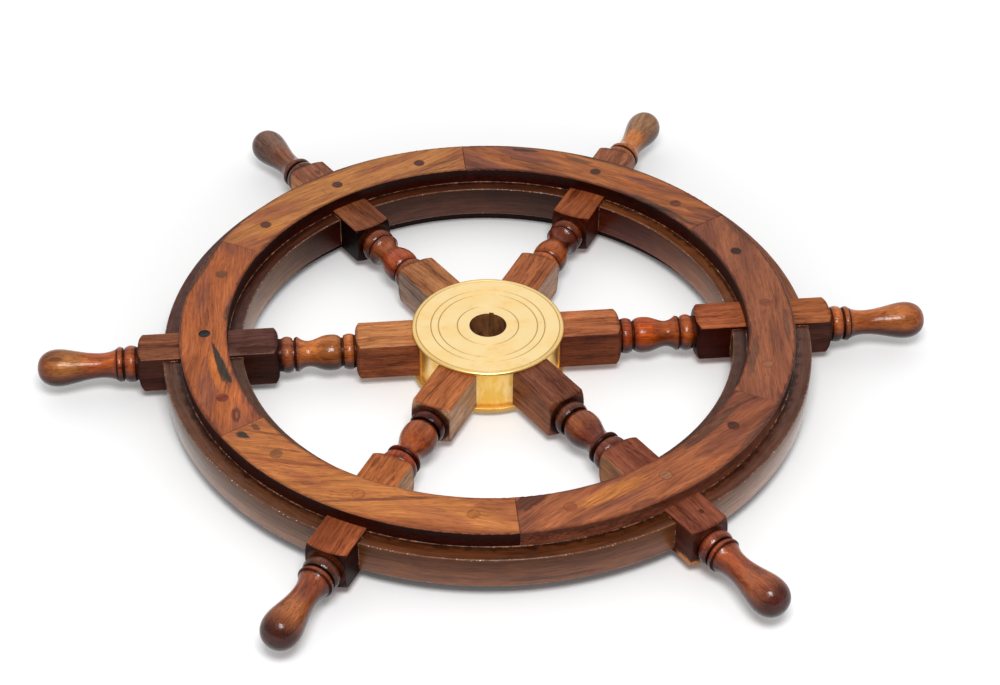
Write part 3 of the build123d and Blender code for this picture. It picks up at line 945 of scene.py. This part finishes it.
varnish, graph, shader = new_material("pooled_varnish")
lumps = graph.noise(graph.place(), scale=300.0, detail=3.0, roughness=0.6)
specks = graph.noise(graph.place(), scale=900.0)
colour = graph.ramp(lumps, (0.4, srgb(40, 22, 14)), (0.52, srgb(84, 50, 32)), (0.62, srgb(138, 92, 58)))
colour = graph.mix(graph.span(specks, 0.66, 0.72, 0.0, 0.8), colour, srgb(196, 182, 160))
graph.feed(shader.inputs["Base Color"], colour)
graph.feed(shader.inputs["Roughness"], graph.span(lumps, 0.4, 0.6, 0.25, 0.4))
shader.inputs["IOR"].default_value = 1.35
graph.bump(shader.inputs["Normal"], specks, strength=0.2, distance=0.3 * MM)

draw = random.Random(7)
for side, sign in (("front", 1), ("back", -1)):
    height = sign * (FELLOE_HALF + 0.05 * MM)
    for name, radius, size in (("outer", FACING_OUTER, 0.5 * MM), ("inner", FACING_INNER, 0.45 * MM)):
        gap = math.degrees(math.asin((STOCK_HALF + 0.3 * MM) / radius))
        runs = []
        for index in range(SPOKES):
            angle = index * PITCH
            runs.append(corner_bead(draw, radius, height, angle + gap, angle + PITCH - gap, size))
        bead(f"{side}_{name}_varnish_bead", runs, varnish)

runs = []
for index in range(SPOKES):
    out = unit(index * PITCH)
    across = unit(index * PITCH + 90)
    for hand in (-1, 1):
        flank = hand * STOCK_HALF * across
        for radius, facing in ((FELLOE_OUTER, FACING_OUTER), (FELLOE_INNER, FACING_INNER)):
            reach = math.sqrt(radius**2 - STOCK_HALF**2)
            corner = math.sqrt(facing**2 - STOCK_HALF**2)
            foot = out * reach + flank
            low = Vector((0, 0, -FELLOE_HALF + 1 * MM))
            high = Vector((0, 0, FELLOE_HALF - 0.2 * MM))
            runs.append(straight_bead(draw, foot + low, foot + high, 0.4 * MM))
            top = Vector((0, 0, FELLOE_HALF))
            runs.append(straight_bead(draw, foot + top, out * corner + flank + top, 0.45 * MM))
            runs.append(straight_bead(draw, foot - top, out * corner + flank - top, 0.45 * MM))
bead("spoke_corner_varnish", runs, varnish)

# ----------------------------------------------------------- floor and lights
FLOOR_HALF = 12.0
FLOOR_GREY = 0.77
FLOOR_GLOW = 0.4
floor_mesh = bpy.data.meshes.new("studio_floor")
floor_mesh.from_pydata(
    [(x * FLOOR_HALF, y * FLOOR_HALF, 0) for x, y in ((-1, -1), (1, -1), (1, 1), (-1, 1))],
    [],
    [(0, 1, 2, 3)],
)
floor = bpy.data.objects.new("studio_floor", floor_mesh)
floor.location.z = cad_low[2] - 0.1 * MM
bpy.context.scene.collection.objects.link(floor)
floor_material, graph, shader = new_material("studio_floor")
shader.inputs["Base Color"].default_value = (FLOOR_GREY, FLOOR_GREY, FLOOR_GREY, 1.0)
shader.inputs["Roughness"].default_value = 0.9
# The floor glows a little where the softbox reaches it less: away from the wheel
# and inside its rim
reach = radius_of(graph, graph.place())
glow = graph.math(
    "MAXIMUM",
    graph.span(reach, 235 * MM, 520 * MM, 0.1, 1.0),
    graph.span(reach, 190 * MM, 130 * MM, 0.1, 0.31),
)
graph.feed(shader.inputs["Emission Color"], graph.combine(glow, glow, glow))
shader.inputs["Emission Strength"].default_value = FLOOR_GLOW
floor_mesh.materials.append(floor_material)

# A softbox stands in front of the wheel and above it, and is aimed at the hub
SOFTBOX_PLACE = Vector((-0.05, -0.85, 1.35))
SOFTBOX_SIZE = (0.54, 0.42)
SOFTBOX_POWER = 20
softbox_data = bpy.data.lights.new("front_softbox", "AREA")
softbox_data.shape = "RECTANGLE"
softbox_data.size, softbox_data.size_y = SOFTBOX_SIZE
softbox_data.energy = SOFTBOX_POWER
softbox = bpy.data.objects.new("front_softbox", softbox_data)
softbox.location = SOFTBOX_PLACE
softbox.rotation_euler = (-SOFTBOX_PLACE).to_track_quat("-Z", "Y").to_euler()
bpy.context.scene.collection.objects.link(softbox)

# The studio is bright overhead, and dimmer towards the horizon and behind the camera
world = bpy.data.worlds.new("studio")
world.use_nodes = True
sky = Graph(world.node_tree)
across, depth, rise = sky.split(sky.node("ShaderNodeTexCoord").outputs["Generated"])
horizon = sky.span(sky.math("ABSOLUTE", across), 0.3, 0.9, 0.3, 0.85)
overhead = sky.span(depth, 0.25, 0.6, 0.72, 1.0)
behind = sky.span(depth, -0.9, -0.1, 0.5, 1.0)
sky_light = sky.math("MULTIPLY", sky.span(rise, 0.0, 0.5, horizon, overhead), behind)
sky.feed(world.node_tree.nodes["Background"].inputs["Color"], (1.0, 1.0, 1.0, 1.0))
sky.feed(world.node_tree.nodes["Background"].inputs["Strength"], sky_light)
bpy.context.scene.world = world
bpy.context.scene.view_settings.view_transform = "Standard"

# --------------------------------------------------------------------- camera
CAMERA_AZIMUTH = -5.95
CAMERA_ELEVATION = 39.38
CAMERA_ROLL = 0.53
CAMERA_DISTANCE = 1.463
CAMERA_TARGET = Vector((0.0084, 0.0003, 0.0))
CAMERA_LENS = 76.7

azimuth = math.radians(CAMERA_AZIMUTH)
elevation = math.radians(CAMERA_ELEVATION)
roll = math.radians(CAMERA_ROLL)
back = Vector(
    (math.sin(azimuth) * math.cos(elevation), -math.cos(azimuth) * math.cos(elevation), math.sin(elevation))
)
level = Vector((math.cos(azimuth), math.sin(azimuth), 0))
upward = back.cross(level)
right = level * math.cos(roll) + upward * math.sin(roll)
upward = upward * math.cos(roll) - level * math.sin(roll)
camera_data = bpy.data.cameras.new("camera")
camera_data.lens = CAMERA_LENS
camera = bpy.data.objects.new("camera", camera_data)
turn = Matrix((right, upward, back)).transposed().to_4x4()
camera.matrix_world = Matrix.Translation(CAMERA_TARGET + back * CAMERA_DISTANCE) @ turn
bpy.context.scene.collection.objects.link(camera)
bpy.context.scene.camera = camera
